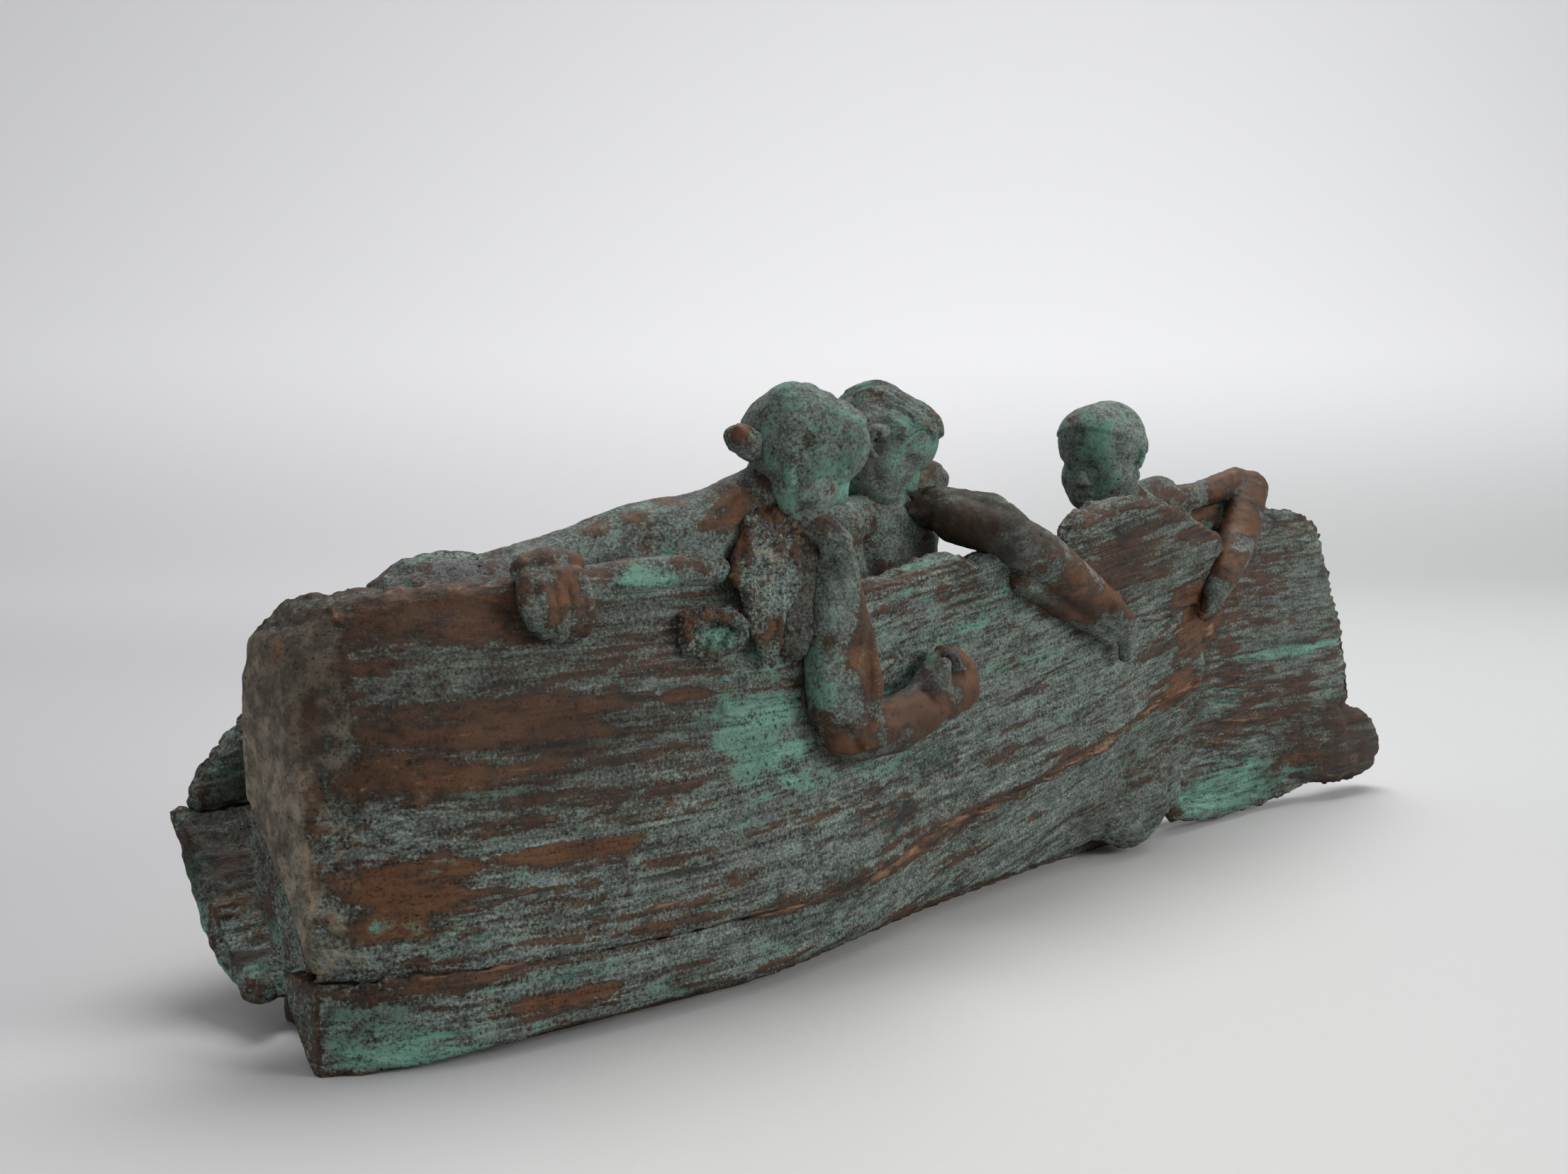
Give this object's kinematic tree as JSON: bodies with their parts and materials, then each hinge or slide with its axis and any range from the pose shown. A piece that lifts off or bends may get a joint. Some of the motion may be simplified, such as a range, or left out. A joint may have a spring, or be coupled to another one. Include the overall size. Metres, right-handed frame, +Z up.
{
  "type": "cast bronze boat with figures",
  "caption": "Table sculpture of a broken wooden boat in patinated bronze, with people leaning and hanging over its near side.",
  "frame": {"origin": "on the table under the middle of the bounding box", "axes": "+X from the stern to the stem, +Y from the near side, which the people lean over, to the far side, +Z up"},
  "size_m": [0.5062, 0.1326, 0.169],
  "materials": {
    "brown_bronze": "worn brown bronze, half matt",
    "grey_green_patina": "matt grey-green patina over brown bronze",
    "green_patina": "matt green patina"
  },
  "bodies": {
    "root": {"aft_cuff_rag": "green_patina", "aft_cupped_hand": "brown_bronze", "aft_grip_arm": "brown_bronze", "aft_grip_hand": "brown_bronze", "aft_hair_knot": "brown_bronze", "aft_hanging_arm": "brown_bronze", "aft_head": "brown_bronze", "aft_leg_far": "brown_bronze", "aft_leg_near": "brown_bronze", "aft_scarf": "grey_green_patina", "aft_sleeve_rag": "green_patina", "aft_torso": "brown_bronze", "aft_waist_cloth": "grey_green_patina", "bow_far_arm": "brown_bronze", "bow_forearm": "brown_bronze", "bow_head": "brown_bronze", "bow_leg_far": "brown_bronze", "bow_leg_near": "brown_bronze", "bow_torso": "brown_bronze", "bow_upper_arm": "brown_bronze", "far_bilge_strake": "grey_green_patina", "far_bow_panel": "green_patina", "far_side_plank": "grey_green_patina", "forefoot_knot": "green_patina", "keel_plank": "grey_green_patina", "mid_far_arm": "brown_bronze", "mid_forearm": "brown_bronze", "mid_head": "brown_bronze", "mid_leg_far": "brown_bronze", "mid_leg_near": "brown_bronze", "mid_torso": "brown_bronze", "mid_upper_arm": "brown_bronze", "near_bilge_strake": "grey_green_patina", "near_bow_panel": "green_patina", "near_cheek_plank": "grey_green_patina", "near_side_plank": "grey_green_patina", "stem_foot": "green_patina", "stern_wedge": "green_patina"}
  },
  "joints": []
}
